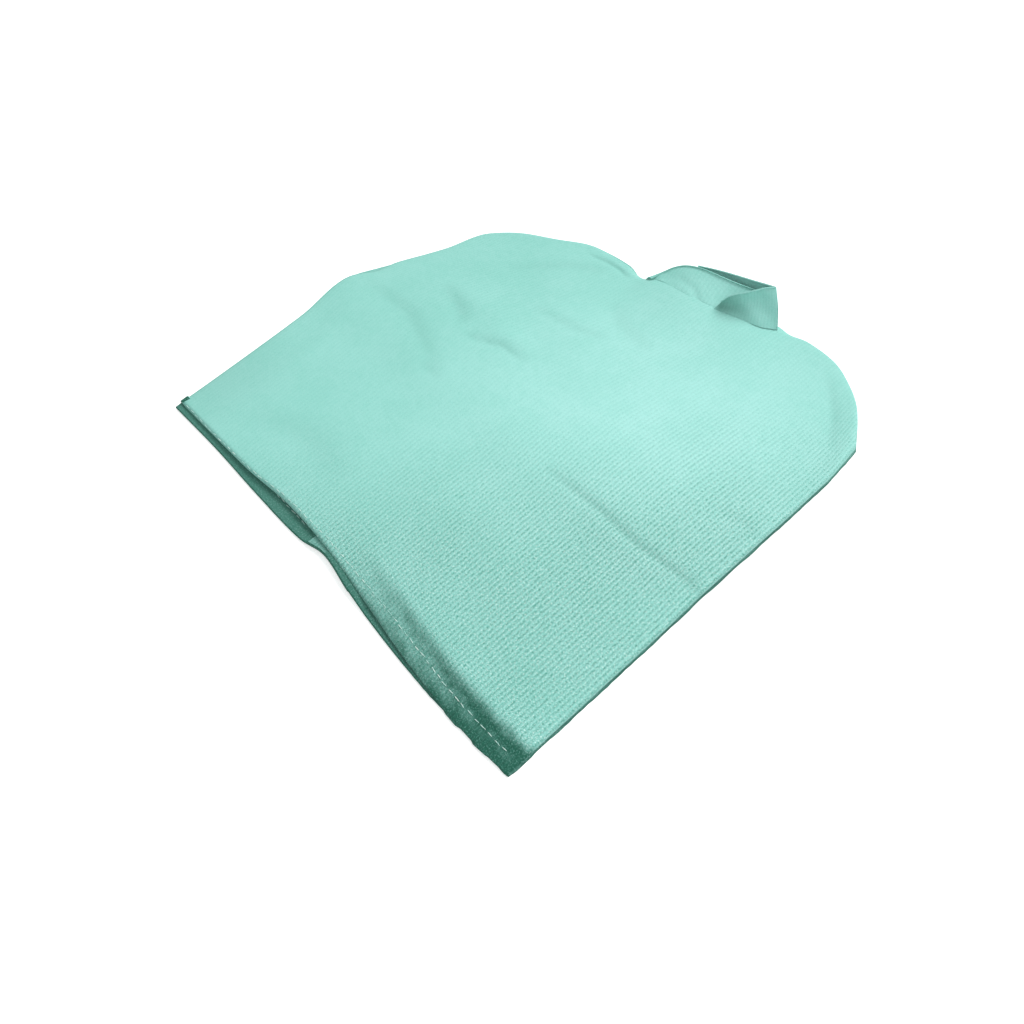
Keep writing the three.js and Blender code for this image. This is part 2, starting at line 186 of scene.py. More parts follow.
class GownColours(bpy.types.PropertyGroup):
    """The gown's colours, linear."""

    mint: colour("Mint", "The cloth's outer face", (0.285, 0.625, 0.560))
    # Painted light: this paler mint stands for where the key light falls brightest on the body.
    painted_light_mint: colour("Faded mint", "Where the chest is washed palest", (0.385, 0.740, 0.685))
    valley: colour("Weave valley", "Between the rows of the weave", (0.095, 0.330, 0.270))
    # Painted shade: the deep green stands for shade on the cloth where the shade attribute mixes it in;
    # the overlocked edges also use it in their weave's hollows.
    deep_green_and_painted_shade: colour("Deep green", "Doubled cloth and the inside of the gown", (0.009, 0.098, 0.064))
    lint: colour("Lint", "Pale fibre ends on the cloth", (0.74, 0.93, 0.87))
    thread: colour("Thread", "Sewing thread", (0.78, 0.93, 0.87))
    floor: colour("Floor", "The plain surface under the gown", (0.93, 0.93, 0.93))


# ---------------------------------------------------------------- the gown's flat shape
HEM_MIDDLE = 11  # x of the hem's middle
NECK_MIDDLE = 12  # x of the neck's middle
TOP_RISE = 90  # about how far the cloth goes on past the body length, to the top line


class Outline:
    """Edges of the body in millimetres. u runs left to right, v from the hem to the top."""

    def __init__(self, sizes):
        mm = lambda name: getattr(sizes, name) / MM
        self.width, self.length, self.arm = mm("hem_width"), mm("body_length"), mm("underarm")
        self.turn, self.seam = mm("hem_turn"), mm("seam")
        self.overlap, self.edge_turn = mm("overlap"), mm("edge_turn")
        self.sleeve = mm("sleeve_length")
        self.tall = self.length + TOP_RISE
        self.left = HEM_MIDDLE - self.width / 2
        self.right = self.left + self.width
        self.middle = NECK_MIDDLE
        self.neck_left = self.middle - mm("neck_width") / 2
        self.neck_right = self.neck_left + mm("neck_width")
        self.left_top, self.right_top = self.left + 26, self.right - 43
        length, armhole = self.length, self.length - self.arm
        self.low = -6
        self.left_edge = through([
            (0, self.left), (self.arm * 0.7, self.left - 28), (self.arm, self.left - 45),
            (self.arm + armhole * 0.24, self.left - 31), (self.arm + armhole * 0.66, self.left - 1),
            (self.arm + armhole * 0.9, self.left + 10), (length, self.left_top)])
        self.right_edge = through([
            (0, self.right), (self.arm * 0.64, self.right - 13), (self.arm, self.right - 20),
            (length, self.right - 33), (length + 60, self.right_top)])
        across = lambda share: lerp(self.left, self.right, share)
        self.back_hem = through([
            (self.left, 0), (across(0.14), 1.8), (across(0.29), 0.5), (across(0.42), 1.6),
            (across(0.477), 8.5), (across(0.57), 0.5), (across(0.74), -8),
            (across(0.9), -10), (self.right, -7)])
        self.front_hem = through([
            (self.left, 8.5), (across(0.155), 10), (across(0.24), 11.5), (across(0.35), 17.5),
            (across(0.483), 14.5), (across(0.65), 3), (across(0.82), -8.5),
            (across(0.93), -9.5), (self.right, -6.5)])
        self.front_top = self.top_line([(0.15, 86), (0.43, 90), (0.6, 101), (0.8, 112)])
        self.back_top = self.top_line([(0.15, 98), (0.43, 114), (0.6, 122), (0.8, 129)])

    def top_line(self, neckline):
        left = lambda share: lerp(self.left_top, self.neck_left, share)
        right = lambda share: lerp(self.neck_right, self.right_top, share)
        neck = lambda share: lerp(self.neck_left, self.neck_right, share)
        rises = [(self.left_top, 0), (left(0.12), 21), (left(0.345), 49), (left(0.5), 70),
                 (left(0.62), 78), (left(0.85), 82), (self.neck_left, 80),
                 *[(neck(s), y) for s, y in neckline],
                 (self.neck_right, 134), (right(0.16), 142), (right(0.42), 141),
                 (right(0.6), 128), (right(0.8), 103), (self.right_top, 60)]
        return through([(x, self.length + y) for x, y in rises])

    def x_at(self, u, v, hem, top):
        """x of the body at u and v."""
        hem_x, top_x = lerp(self.left, self.right, u), lerp(self.left_top, self.right_top, u)
        left_y = lerp(hem(self.left), top(self.left_top), v)
        right_y = lerp(hem(self.right), top(self.right_top), v)
        bow_left = self.left_edge(left_y) - lerp(self.left, self.left_top, v)
        bow_right = self.right_edge(right_y) - lerp(self.right, self.right_top, v)
        return lerp(hem_x, top_x, v) + bow_left * (1 - u) + bow_right * u

    def place(self, u, v, hem, top):
        hem_y = hem(lerp(self.left, self.right, u))
        top_y = top(lerp(self.left_top, self.right_top, u))
        return self.x_at(u, v, hem, top), lerp(hem_y, top_y, v)

    def reach(self, u, hem, top):
        """Length of the cloth from the hem to the top line at u."""
        return top(lerp(self.left_top, self.right_top, u)) - hem(lerp(self.left, self.right, u))


def frame_shift(shape):
    """From the outline's millimetres to the frame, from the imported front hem's corner."""
    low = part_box("front_hem")[0]
    straight = through([(shape.left, 0), (shape.right, shape.low)])
    x = float(shape.x_at(0, shape.turn / shape.tall, straight, shape.front_top))
    return np.array([low.x / MM - x, low.y / MM - shape.low, 0])


# ---------------------------------------------------------------- heights of the layers
LAYER = 1.4  # one layer of cloth and the air over it
SLEEVES = 3.0  # the body's rise where it lies on the folded sleeves
LOFT = 13.0  # how far the front stands off the back
SEAM_GAP = 2.7  # from the floor to the middle of the front where it is sewn to the back
SHOULDER = 7.0  # how far the shoulder seams stand off the floor
FOLD = 0.95  # radius of a pressed fold's middle line
ROLL = 3.4  # radius of the soft roll along the front hem
CLEARANCE = 2.0  # how far the front stays over the seam allowances at the shoulders
FIRMNESS = 1.5  # how sharply it turns away from that height

# By x: height of the front's visible hem edge, how much of the hem is rolled under that
# edge, and height of the neckline.
HEM_HEIGHT = through([
    (-303, 7), (-206, 10.2), (-110, 11.5), (0, 11.5), (90, 9), (180, 5.5), (250, 3.6), (325, 3.1)])
HEM_TUCK = through([
    (-303, 18), (-270, 18.5), (-206, 18.5), (-97, 16.8), (0, 12.5), (84, 7.5), (129, 4), (190, 0),
    (325, 0)])
NECK_RISE = through([
    (-90, 15), (-50, 21.5), (-15, 25), (15, 24), (40, 21.3), (65, 20.5), (110, 18)])
# Share of the full height, by the distance from the edge of a hem that is rolled to the floor.
ROLLED_HEM = through([(0, 0), (5, 0.17), (15, 0.34), (23, 0.54), (32, 0.95), (38, 1.0), (60, 1.0)])
# Share of the loft, by v.
FULLNESS = through([(0, 0.9), (0.12, 1), (0.6, 1), (1, 0.6)])

# Creases pressed into the front: line, half width and depth, in millimetres.
CREASES = [
    ([(70, 258), (158, 264), (220, 264), (284, 274), (312, 272)], 7, -3.4),
    ([(150, 250), (225, 251), (300, 259)], 13, 1.6),
    ([(239, 366), (298, 372)], 7, -1.2),
    ([(-152, 322), (-107, 344), (-64, 351)], 7, -2.4),
    ([(-150, 337), (-112, 358), (-70, 366)], 10, 1.4),
    ([(-132, 418), (-65, 431), (-30, 446)], 8, -1.1),
    ([(-240, 366), (-195, 352), (-165, 336)], 10, -2.0),
    ([(-300, 330), (-236, 361), (-150, 372), (-70, 344)], 16, 1.6),
    ([(-320, 300), (-230, 300), (-122, 262)], 12, -1.5),
    ([(-322, 282), (-269, 190), (-262, 120)], 13, 1.5),
    ([(-151, 256), (-112, 254)], 8, -1.0),
    ([(-133, 430), (-51, 440)], 14, 0.9),
    ([(-215, 440), (-160, 505), (-120, 530)], 12, -1.0),
    ([(-70, 500), (-38, 480), (20, 470)], 15, -1.1),
    ([(120, 470), (60, 430), (40, 380)], 18, 1.0),
    ([(-40, 120), (60, 150), (150, 140)], 30, 1.2),
    ([(-230, 60), (-150, 90), (-60, 80)], 26, -1.0),
    ([(190, 598), (235, 560), (262, 520)], 8, -1.2),
    ([(-160, 537), (-134, 545), (-112, 547), (-92, 543)], 4, -2.6),
    ([(150, 420), (210, 440), (280, 430)], 16, 0.9),
]
NECK_CREASE = [(-56, 566), (-38, 578), (-12, 577), (8, 566), (18, 552)]


def waves(x, y):
    """Slow unevenness of cloth that has been lying about."""
    return (0.55 * np.sin(x / 41 + 1.3 * np.sin(y / 67)) * np.cos(y / 53 + 0.6)
            + 0.35 * np.sin(x / 19 + y / 47 + 0.8) * np.sin(y / 29 - x / 83))


def creases(x, y):
    total = waves(x, y)
    for line, width, depth in CREASES:
        away, along = to_line(x, y, line)
        total = total + depth * hill(away, width) * np.sin(PI * along) ** 0.6
    away, along = to_line(x, y, NECK_CREASE)
    return total - 1.7 * hill(away, 4.5) * np.sin(PI * along) ** 0.5


def lift(y):
    return SLEEVES * smooth(y, 205, 270)


def shoulder(shape, u, v):
    """Rise of the sewn shoulders off the floor, nothing at the sides and at the neck."""
    x = lerp(shape.left_top, shape.right_top, u)
    left, right = shape.neck_left, shape.neck_right
    neck = between(x, left - 36, left - 6, right + 6, right + 36)
    return SHOULDER * (1 - neck) * rounded(np.minimum(u, 1 - u), 0, 0.07) * smooth(v, 0.84, 1)


def front_height(shape, x, y, u, v, down):
    """Middle of the front cloth. down is the distance from the visible hem edge."""
    bulge = 1 - (2 * u - 1) ** 4
    full = lift(y) + 3 * LAYER + LOFT * bulge * FULLNESS(v)
    full = full + creases(x, y) * smooth(down, 10, 60) * bulge
    # The hem: soft and raised on the left, rolled down to the floor on the right.
    edge = HEM_HEIGHT(x)
    soft = 1 - np.exp(-down / 24)
    height = edge + (full - edge) * lerp(soft, ROLLED_HEM(down), smooth(x, 10, 170))
    # The neckline stands up under the band.
    left, right = shape.neck_left, shape.neck_right
    neck = between(x, left - 14, left + 16, right - 6, right + 18)
    height = lerp(height, NECK_RISE(x), neck * smooth(v, 0.85, 1.0))
    # Near the shoulders the front always clears the seam allowances.
    low = lift(y) + SEAM_GAP + shoulder(shape, u, v)
    over = height - low - CLEARANCE
    clear = low + CLEARANCE + np.logaddexp(0, FIRMNESS * over) / FIRMNESS
    height = lerp(height, clear, smooth(v, 0.78, 0.88))
    # The sides and shoulders come down to the back, where they are sewn.
    side = np.minimum(u, 1 - u) * shape.width
    height = low + (height - low) * rounded(side, -0.4, 9)
    seam = rounded((1 - v) * shape.tall, -0.4, 11)
    return lerp(low + (height - low) * seam, height, neck)


# ---------------------------------------------------------------- cloth meshes
def normals(points):
    """Unit normals of a grid of points, from its rows and columns."""
    along, across = np.gradient(points, axis=0), np.gradient(points, axis=1)
    n = np.cross(across, along)
    return n / np.maximum(np.linalg.norm(n, axis=2, keepdims=True), 1e-9)


FOLD_ROWS = 7


def pressed_fold(points, side):
    """Rows that turn a cloth's first row under (side -1) or up and over (side +1)."""
    n = normals(points)[:1] * side
    away = points[1:2] - points[:1]
    away = away / np.linalg.norm(away, axis=2, keepdims=True)
    centre = points[:1] + FOLD * n
    angles = np.linspace(PI, 0, FOLD_ROWS, endpoint=False).reshape(-1, 1, 1)
    return centre - FOLD * (np.cos(angles) * n + np.sin(angles) * away)


def folded(points, uv, shade, side, fold_shade):
    """A cloth with a pressed fold before its first row."""
    fold = pressed_fold(points, side)
    run = np.linspace(PI * FOLD, 0, FOLD_ROWS, endpoint=False).reshape(-1, 1, 1)
    # The fold gets its own painted shade.
    fold_shade = np.broadcast_to(fold_shade, fold.shape[:2])
    return (np.concatenate([fold, points]), np.concatenate([uv[:1] - run * [0, 1], uv]),
            np.concatenate([fold_shade, shade]))


def next_layer(points, side):
    """The cloth's second layer, past the fold, under it (side -1) or over it (side +1)."""
    return points + side * 2 * FOLD * normals(points)


def deselect():
    if bpy.context.object and bpy.context.object.mode != "OBJECT":
        bpy.ops.object.mode_set(mode="OBJECT")
    bpy.ops.object.select_all(action="DESELECT")


def make_active(obj):
    deselect()
    obj.select_set(True)
    bpy.context.view_layer.objects.active = obj


def mesh_object(name, points, faces, shift):
    """A mesh from the outline's millimetres, moved to its place in the frame."""
    mesh = bpy.data.meshes.new(name)
    mesh.from_pydata(((points + shift) * MM).tolist(), [], faces)
    obj = bpy.data.objects.new(name, mesh)
    bpy.context.scene.collection.objects.link(obj)
    return obj


def cloth(name, points, uv, shade, gown, wrap=False, thickness=None):
    """A grid of points as a sheet with its real thickness, its face up.

    It has cloth coordinates in metres and a shade attribute, which holds painted shade."""
    rows, columns = points.shape[:2]
    index = np.arange(rows * columns).reshape(rows, columns)
    right = np.roll(index, -1, axis=1) if wrap else index[:, 1:]
    left = index if wrap else index[:, :-1]
    faces = np.stack([left[:-1], right[:-1], right[1:], left[1:]], axis=-1).reshape(-1, 4)
    obj = mesh_object(name, points.reshape(-1, 3), faces.tolist(), gown.shift)
    mesh = obj.data
    layer = mesh.uv_layers.new(name="cloth")
    corners = np.zeros(len(mesh.loops), int)
    mesh.loops.foreach_get("vertex_index", corners)
    layer.data.foreach_set("uv", (uv.reshape(-1, 2) * MM)[corners].ravel())
    attribute = mesh.attributes.new("shade", "FLOAT", "POINT")
    shades = np.broadcast_to(shade, (rows, columns)).ravel().astype(np.float32)
    attribute.data.foreach_set("value", shades)
    make_active(obj)
    solid = obj.modifiers.new("Thickness", "SOLIDIFY")
    solid.thickness = thickness or gown.sizes.cloth
    solid.offset = 0
    solid.use_even_offset = False
    bpy.ops.object.modifier_apply(modifier=solid.name)
    bpy.ops.object.shade_smooth_by_angle(angle=math.radians(50))
    return obj


def finish(obj, material, node):
    """Gives a piece its material, puts it on the root body and hides the CAD part it stands in for."""
    obj.data.materials.clear()
    obj.data.materials.append(material)
    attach(obj, "root")
    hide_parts(node)


class Gown:
    """What every operator needs: sizes, colours, outline, frame shift and materials."""

    def __init__(self, scene):
        self.sizes = scene.gown_sizes
        self.colours = scene.gown_colours
        self.shape = Outline(self.sizes)
        self.shift = frame_shift(self.shape)

    def material(self, name):
        return bpy.data.materials.get(name) or MATERIALS[name](self)


# ---------------------------------------------------------------- node helpers
class Tree:
    """Adds nodes to a material or a group in few words."""

    def __init__(self, tree):
        self.tree = tree

    def put(self, value, socket):
        if isinstance(value, bpy.types.NodeSocket):
            self.tree.links.new(value, socket)
        else:
            socket.default_value = value

    def fill(self, node, values):
        for key, value in values.items():
            self.put(value, node.inputs[key])

    def add(self, kind, values=None, **settings):
        node = self.tree.nodes.new(kind)
        for key, value in settings.items():
            setattr(node, key, value)
        self.fill(node, values or {})
        return node

    def group(self, group, values):
        return self.add("ShaderNodeGroup", values, node_tree=group).outputs

    def math(self, operation, *values):
        return self.add("ShaderNodeMath", dict(enumerate(values)), operation=operation).outputs[0]

    def vector(self, operation, a, b):
        return self.add("ShaderNodeVectorMath", {0: a, 1: b}, operation=operation).outputs

    def bump(self, height, strength, distance):
        values = {"Height": height, "Strength": strength, "Distance": distance}
        return self.add("ShaderNodeBump", values).outputs[0]

    def mix(self, factor, a, b):
        node = self.add("ShaderNodeMix", data_type="RGBA")
        sockets = [s for s in node.inputs if s.enabled]
        for value, socket in zip((factor, a, b), sockets):
            self.put(value, socket)
        return next(s for s in node.outputs if s.enabled)

    def noise(self, vector, scale, detail=2.0, roughness=0.5):
        values = {"Vector": vector, "Scale": scale, "Detail": detail, "Roughness": roughness}
        return self.add("ShaderNodeTexNoise", values).outputs[0]

    def remap(self, value, low, high, out_low=0.0, out_high=1.0):
        values = {"Value": value, "From Min": low, "From Max": high,
                  "To Min": out_low, "To Max": out_high}
        return self.add("ShaderNodeMapRange", values, interpolation_type="SMOOTHSTEP").outputs[0]


def new_group(name, inputs, outputs):
    """An empty shader node group with named sockets."""
    group = bpy.data.node_groups.new(name, "ShaderNodeTree")
    for label, kind, default in inputs:
        socket = group.interface.new_socket(label, in_out="INPUT", socket_type=kind)
        if default is not None:
            socket.default_value = default
    for label, kind in outputs:
        group.interface.new_socket(label, in_out="OUTPUT", socket_type=kind)
    tree = Tree(group)
    return group, tree, tree.add("NodeGroupInput").outputs, tree.add("NodeGroupOutput").inputs


WANDER = 0.0007  # how far the yarns stray from straight rows, in metres


def weave_group():
    """Rows of little cells: Height for bump, Valley and Lint as masks."""
    name = "gown_weave"
    if name in bpy.data.node_groups:
        return bpy.data.node_groups[name]
    number, vector = "NodeSocketFloat", "NodeSocketVector"
    group, t, given, sink = new_group(
        name, [("Vector", vector, None), ("Row Pitch", number, 0.0052), ("Cell", number, 0.005)],
        [("Height", number), ("Valley", number), ("Lint", number)])
    drift = t.add("ShaderNodeTexNoise", {"Vector": given["Vector"], "Scale": 95.0, "Detail": 2.0})
    centred = t.vector("SUBTRACT", drift.outputs["Color"], (0.5, 0.5, 0.5))[0]
    moved = t.add("ShaderNodeVectorMath", {0: centred, "Scale": WANDER}, operation="SCALE")
    place = t.vector("ADD", given["Vector"], moved.outputs[0])[0]
    xyz = t.add("ShaderNodeSeparateXYZ", {0: place})
    rows = t.math("DIVIDE", xyz.outputs["X"], given["Row Pitch"])
    row = t.math("FLOOR", rows)
    off = t.math("SUBTRACT", t.math("FRACT", rows), 0.5)
    ridge = t.math("MULTIPLY_ADD", t.math("COSINE", t.math("MULTIPLY", off, 2 * PI)), 0.5, 0.5)
    cells = t.math("DIVIDE", xyz.outputs["Y"], given["Cell"])
    stagger = t.math("MULTIPLY_ADD", row, 0.37, t.math("MULTIPLY", off, 0.4))
    turn = t.math("MULTIPLY", t.math("ADD", cells, stagger), 2 * PI)
    bead = t.math("MULTIPLY_ADD", t.math("COSINE", turn), 0.5, 0.5)
    yarn = t.noise(given["Vector"], 900.0, 2.0, 0.6)
    height = t.math("MULTIPLY", ridge, t.math("MULTIPLY_ADD", bead, 0.45, 0.55))
    t.put(t.math("MULTIPLY_ADD", yarn, 0.55, height), sink["Height"])
    hollow = t.math("POWER", t.math("SUBTRACT", 1.0, ridge), 1.3)
    speck = t.remap(t.noise(given["Vector"], 430.0, 3.0, 0.8), 0.42, 0.60, 0.0, 1.25)
    dash = t.math("MULTIPLY_ADD", t.math("SUBTRACT", 1.0, bead), 0.18, speck)
    fuzz = t.remap(t.noise(given["Vector"], 700.0, 2.0, 0.8), 0.47, 0.66, 0.0, 0.62)
    t.put(t.math("MULTIPLY_ADD", hollow, dash, fuzz), sink["Valley"])
    t.put(t.remap(t.noise(given["Vector"], 620.0, 3.0, 0.75), 0.52, 0.64), sink["Lint"])
    return group


def mottle_group():
    """Slow and middling colour variation over a piece, about 0 to 1."""
    name = "gown_mottle"
    if name in bpy.data.node_groups:
        return bpy.data.node_groups[name]
    number = "NodeSocketFloat"
    group, t, given, sink = new_group(
        name, [("Vector", "NodeSocketVector", None), ("Scale", number, 14.0)], [("Factor", number)])
    slow = t.noise(given["Vector"], given["Scale"], 3.0, 0.55)
    fine = t.noise(given["Vector"], t.math("MULTIPLY", given["Scale"], 9.0), 3.0, 0.6)
    both = t.math("MULTIPLY_ADD", fine, 0.45, t.math("MULTIPLY", slow, 0.55))
    t.put(t.remap(both, 0.36, 0.64), sink["Factor"])
    return group


def new_material(name):
    material = bpy.data.materials.new(name)
    material.use_nodes = True
    material.node_tree.nodes.clear()
    t = Tree(material.node_tree)
    shader = t.add("ShaderNodeBsdfPrincipled")
    output = t.add("ShaderNodeOutputMaterial")
    t.put(shader.outputs[0], output.inputs["Surface"])
    return material, t, shader


# Places on the cloth, in metres in the frame.
FROM_CORNER = (-0.8, 0.6, 0.0)  # away from the hem's right corner
WORN_SPAN = (-0.25, 0.0)  # the weave fades over this stretch of that direction
WORN_LEFT = 0.16  # what is left of it past the stretch
# Centre and reach of the painted pool of light.
PAINTED_LIGHT_CENTRE = (0.14, 0.07, 0.0)
PAINTED_LIGHT_SPAN = (0.02, 0.37)


def cloth_material(gown, name, shade_bias=0.0, weave_strength=1.0):
    """Waffle-woven cotton. The piece's shade attribute, painted shade, takes mint down to deep green, and
    the cloth is painted paler where the light falls brightest.
    """
    c = gown.colours
    material, t, shader = new_material(name)
    uv = t.add("ShaderNodeUVMap", uv_map="cloth").outputs[0]
    place = t.add("ShaderNodeTexCoord").outputs["Object"]
    weave = t.group(weave_group(), {"Vector": uv, "Row Pitch": gown.sizes.row_pitch})
    mottle = t.group(mottle_group(), {"Vector": place, "Scale": 14.0})[0]
    # The shade attribute holds painted shade, and shade_bias adds more for a whole material.
    shade = t.add("ShaderNodeAttribute", attribute_name="shade").outputs["Fac"]
    shade = t.math("MINIMUM", t.math("MAXIMUM", t.math("ADD", shade, shade_bias), 0.0), 1.0)
    # The weave shows most where the cloth is least worn, at the hem's right corner.
    crisp = t.remap(t.noise(place, 6.0, 2.0), 0.3, 0.7, 0.85, 1.1)
    away = t.vector("DOT_PRODUCT", place, FROM_CORNER)["Value"]
    crisp = t.math("MULTIPLY", crisp, t.remap(away, *WORN_SPAN, 1.0, WORN_LEFT))
    dip = t.math("MULTIPLY", weave["Valley"], t.math("MULTIPLY", crisp, 0.80 * weave_strength))
    # A painted pool of light: the mint is painted paler near the given centre, where the key light falls
    # brightest.
    away = t.vector("DISTANCE", place, PAINTED_LIGHT_CENTRE)["Value"]
    base = t.mix(t.remap(away, *PAINTED_LIGHT_SPAN, 1.0, 0.0), (*c.mint, 1), (*c.painted_light_mint, 1))
    base = t.mix(t.math("MINIMUM", dip, 1.0), base, (*c.valley, 1))
    dark = t.mix(1.0, base, (0.90, 0.955, 0.94, 1))
    dark.node.blend_type = "MULTIPLY"
    base = t.mix(mottle, base, dark)
    lint = t.math("MULTIPLY", weave["Lint"], t.math("MULTIPLY", crisp, 0.62))
    base = t.mix(lint, base, (*c.lint, 1))
    # The painted shade's deep green keeps some of the weave and lint.
    deep_green_and_painted_shade = t.mix(t.math("MULTIPLY", weave["Lint"], 0.28), (*c.deep_green_and_painted_shade, 1), (*c.mint, 1))
    height = t.math("MULTIPLY", weave["Height"], crisp)
    # Painted shade: the shade attribute mixes the colour down to deep green.
    t.fill(shader, {
        "Base Color": t.mix(shade, base, deep_green_and_painted_shade),
        "Roughness": t.remap(mottle, 0.0, 1.0, 0.78, 0.92),
        "Normal": t.bump(height, 0.75 * weave_strength, 0.0012),
        "Sheen Weight": 0.10, "Sheen Roughness": 0.55, "Sheen Tint": (0.75, 1.0, 0.93, 1),
        "Specular IOR Level": 0.25})
    return material


def thread_material(gown):
    """Twisted sewing thread."""
    c = gown.colours
    material, t, shader = new_material("sewing_thread")
    place = t.add("ShaderNodeTexCoord").outputs["Object"]
    mottle = t.group(mottle_group(), {"Vector": place, "Scale": 60.0})[0]
    twist = t.add("ShaderNodeTexWave", {"Vector": place, "Scale": 700.0, "Distortion": 1.5})
    t.fill(shader, {
        "Base Color": t.mix(mottle, (*c.thread, 1), (*c.mint, 1)), "Roughness": 0.6,
        "Normal": t.bump(twist.outputs["Fac"], 0.4, 0.0002)})
    return material


def overlock_material(gown):
    """A raw edge of the same cloth, bound with zigzag thread."""
    c = gown.colours
    material, t, shader = new_material("overlocked_edge")
    uv = t.add("ShaderNodeUVMap", uv_map="cloth").outputs[0]
    weave = t.group(weave_group(), {"Vector": uv, "Row Pitch": 0.003, "Cell": 0.003})
    zigzag = t.add("ShaderNodeTexWave", {"Vector": uv, "Scale": 110.0, "Distortion": 2.0},
                   bands_direction="DIAGONAL").outputs["Fac"]
    base = t.mix(weave["Valley"], (*c.mint, 1), (*c.deep_green_and_painted_shade, 1))
    line = t.remap(zigzag, 0.72, 0.92)
    height = t.math("MULTIPLY_ADD", line, 0.8, weave["Height"])
    t.fill(shader, {
        "Base Color": t.mix(line, base, (*c.thread, 1)), "Roughness": 0.85,
        "Normal": t.bump(height, 0.6, 0.0008)})
    return material


# The inside and the turned cotton are copies of the cotton darkened by painted shade, through shade_bias.
MATERIALS = {
    "gown_cotton": lambda gown: cloth_material(gown, "gown_cotton"),
    "gown_inside": lambda gown: cloth_material(gown, "gown_inside", 0.12, 0.8),
    "turned_cotton": lambda gown: cloth_material(gown, "turned_cotton", 0.30, 0.7),
    "overlocked_edge": overlock_material,
    "sewing_thread": thread_material,
}


# ---------------------------------------------------------------- front of the body
COLUMN_STEP = 4.1  # width of the front's middle columns
NEAR_SIDE = np.array([0, 0.7, 1.6, 3, 5, 7.5, 10.5, 14])  # columns near a side


def edge_columns(width):
    """Shares across the front, closer together at its sides."""
    near = NEAR_SIDE / width
    count = int((width - 2 * NEAR_SIDE[-1]) / COLUMN_STEP) + 1
    middle = np.linspace(near[-1], 1 - near[-1], count)[1:-1]
    return np.concatenate([near, middle, 1 - near[::-1]])


def tuck_in(s, x, y, u, v):
    """How the front's sides and left shoulder are drawn in from the back's."""
    inset = 7 * hill(y - 318, 20) + 0.8
    x = x + inset * hill(u * s.width, 60)
    x = x - 1.9 * hill((1 - u) * s.width, 40)
    return x, y - 2.6 * smooth(v, 0.94, 1) * hill(x + 120, 60)


def front_surface(gown, us, away):
    """Middle of the front cloth. away is the distance from the hem's fold, along the cloth."""
    s = gown.shape
    u, w = np.meshgrid(us, away)
    hem_x = lerp(s.left, s.right, u)
    tuck = HEM_TUCK(hem_x)
    down = w - tuck
    turned = np.clip(-down / ROLL, 0, PI)
    beyond = np.maximum(-down - PI * ROLL, 0)
    out = np.where(down > 0, down, -ROLL * np.sin(turned) + beyond)
    drop = ROLL * (1 - np.cos(turned))
    reach = s.reach(u, s.front_hem, s.front_top)
    v = (out + ROLL * ramp(tuck, 0, 6)) / reach
    # The rows even out towards the top line, whatever the hem does.
    v = np.clip(lerp(v, 1.0, ramp(w, away[-1] * 0.5, away[-1])), -0.02, 1)
    x, y = s.place(u, v, s.front_hem, s.front_top)
    z = front_height(s, x, y, u, v, np.maximum(down, 0))
    side = np.minimum(u, 1 - u) * s.width
    z = z - drop * smooth(side, 0, 14)
    x, y = tuck_in(s, x, y, u, v)
    return np.stack([x, y, z], axis=-1), np.stack([hem_x, y], axis=-1)


# Rows of the front cloth near its top, as distances from it, and the one a band laps to.
TOP_ROWS = np.array([11, 8.5, 6.5, 4.8, 3.4, 2.2, 1.2, 0.5, 0])
TOP_LAP_ROW = 1 - len(TOP_ROWS)


def front_rows(s):
    """Distances of the front's rows from the hem's fold, close together at both ends."""
    near = np.concatenate([[0, 1, 2.2], np.arange(3.6, 62, 1.9)])
    far = np.linspace(62, s.tall - 14, 118)
    return np.concatenate([near + FOLD, far, s.tall - TOP_ROWS])


# Painted shade along the creases.
CREASE_SHADE = 0.07  # darkening for each millimetre of a crease's depth


def front_shade(gown, points, us):
    """Painted shade on the front: over the hem where it rolls down, most towards the right corner, and
    along its edges and creases.
    """
    x, y = points[..., 0], points[..., 1]
    s = gown.shape
    from_edge = y - s.front_hem(x)
    right, corner = smooth(x, 0, 150), smooth(x, 150, 290)
    ragged = np.sin(x / 3.1 + 2 * np.sin(y / 4.7)) * np.sin(y / 3.7 + x / 9.1)
    ragged = ragged + 0.6 * np.sin(x / 7.3 + y / 2.9)
    from_edge = from_edge + 1.6 * ragged * corner
    # Painted shade over the rolled hem, with a ragged edge, darkest under its crest and at its foot.
    zone = 1 - smooth(from_edge, 23, 41)
    crest = hill(from_edge - 27, 8)
    bottom = hill(np.maximum(from_edge, 0), 8)
    band = 0.43 + 0.47 * corner + (0.18 + 0.12 * corner) * crest + 0.34 * bottom
    shade = right * zone * np.clip(band + 0.10 * ragged, 0, 1)
    # Painted shadow along the left hem's edge and the sides, and a little painted shade at the left hem
    # corner.
    edge = 0.35 * (1 - smooth(from_edge, 0, 5)) * (1 - right)
    side = s.width * np.minimum(us[None, :], 1 - us[None, :])
    left = (1 - smooth(x, -300, -200)) * (1 - smooth(y, 60, 190))
    shade = shade + edge + 0.25 * (1 - smooth(side, 0, 4)) + 0.13 * left
    # Painted shade in the sunken creases.
    for line, width, depth in CREASES:
        if depth < 0:
            away, along = to_line(x, y, line)
            dark = CREASE_SHADE * -depth * np.sin(PI * along) ** 0.5
            shade = shade + dark * hill(away, 0.7 * width)
    return np.clip(shade, 0, 1)


